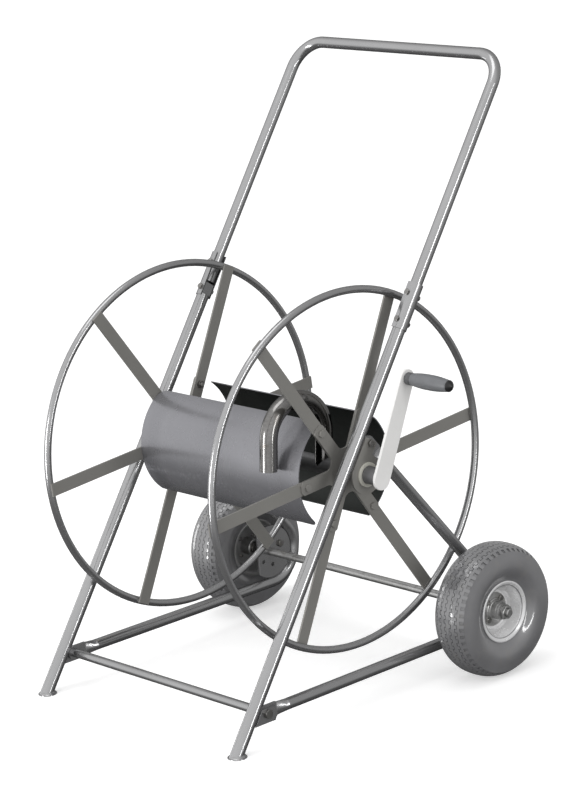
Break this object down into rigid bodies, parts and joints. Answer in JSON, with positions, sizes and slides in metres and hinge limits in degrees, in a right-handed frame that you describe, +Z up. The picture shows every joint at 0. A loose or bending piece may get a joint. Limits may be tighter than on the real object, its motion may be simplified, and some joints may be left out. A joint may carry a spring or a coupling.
{
  "type": "garden hose reel cart",
  "caption": "Wheeled tubular steel cart that carries a crank-turned hose reel with open ring discs, split drum, gooseneck hose pipe and a U-shaped push handle.",
  "frame": {"origin": "on the ground, below the middle of the cart's box", "axes": "+Z up, +Y from the feet towards the wheels and handle, +X towards the crank"},
  "size_m": [0.842, 0.8245, 1.1735],
  "materials": {
    "frame_paint": "gloss",
    "spoke_paint": "satin",
    "drum_paint": "satin",
    "fastener_zinc": "satin",
    "pipe_steel": "polished",
    "crank_paint": "satin",
    "grip_plastic": "satin",
    "cap_plastic": "matte",
    "bush_plastic": "satin",
    "tyre_rubber": "satin",
    "rim_paint": "gloss",
    "brass": "satin",
    "seal_rubber": "matte"
  },
  "bodies": {
    "frame": {"leg_left": "frame_paint", "leg_right": "frame_paint", "foot_left": "frame_paint", "foot_right": "frame_paint", "front_crossbar": "frame_paint", "gusset_left": "frame_paint", "gusset_right": "frame_paint", "side_tube_left": "frame_paint", "side_tube_right": "frame_paint", "axle_plate_left": "frame_paint", "axle_plate_right": "frame_paint", "wheel_axle": "fastener_zinc", "wheel_spacers": "fastener_zinc", "wheel_washers": "fastener_zinc", "wheel_nuts": "fastener_zinc", "bearing_plate_left": "frame_paint", "bearing_plate_right": "frame_paint", "bush_left": "bush_plastic", "bush_right": "bush_plastic", "handle_clip_left": "frame_paint", "handle_clip_right": "frame_paint", "push_handle": "frame_paint", "handle_bolts": "fastener_zinc", "frame_nuts": "fastener_zinc", "crossbar_bolts": "fastener_zinc", "strut_bolts": "fastener_zinc", "axle_plate_bolts": "fastener_zinc"},
    "reel": {"ring_left": "frame_paint", "ring_right": "frame_paint", "spokes_left": "spoke_paint", "spokes_right": "spoke_paint", "star_hub_left": "spoke_paint", "star_hub_right": "spoke_paint", "drum_shell_front": "drum_paint", "drum_shell_rear": "drum_paint", "reel_axle": "pipe_steel", "axle_blank": "pipe_steel", "hose_pipe": "pipe_steel", "hub_bolts": "fastener_zinc", "hub_nuts": "fastener_zinc", "axle_collar_left": "fastener_zinc", "axle_collar_right": "fastener_zinc", "crank_arm": "crank_paint", "grip_spindle": "fastener_zinc"},
    "crank_grip": {"grip": "grip_plastic", "grip_cap": "cap_plastic"},
    "inlet": {"inlet_swivel": "brass", "inlet_seal": "seal_rubber"},
    "wheel_left": {"tyre_left": "tyre_rubber", "rim_outer_left": "rim_paint", "rim_inner_left": "rim_paint", "hub_left": "fastener_zinc", "bearings_left": "fastener_zinc", "rim_bolts_left": "fastener_zinc"},
    "wheel_right": {"tyre_right": "tyre_rubber", "rim_outer_right": "rim_paint", "rim_inner_right": "rim_paint", "hub_right": "fastener_zinc", "bearings_right": "fastener_zinc", "rim_bolts_right": "fastener_zinc"}
  },
  "joints": [
    {"name": "reel_spin", "type": "hinge", "parent": "frame", "child": "reel", "pos_m": [-0.021, -0.0319, 0.446], "axis": [1, 0, 0], "continuous": true},
    {"name": "grip_spin", "type": "hinge", "parent": "reel", "child": "crank_grip", "pos_m": [0.306, 0.04738, 0.61757], "axis": [1, 0, 0], "continuous": true},
    {"name": "inlet_spin", "type": "hinge", "parent": "reel", "child": "inlet", "pos_m": [-0.321, -0.0319, 0.446], "axis": [1, 0, 0], "continuous": true},
    {"name": "wheel_left_spin", "type": "hinge", "parent": "frame", "child": "wheel_left", "pos_m": [-0.374, 0.2081, 0.13], "axis": [1, 0, 0], "continuous": true},
    {"name": "wheel_right_spin", "type": "hinge", "parent": "frame", "child": "wheel_right", "pos_m": [0.332, 0.2081, 0.13], "axis": [1, 0, 0], "continuous": true}
  ]
}
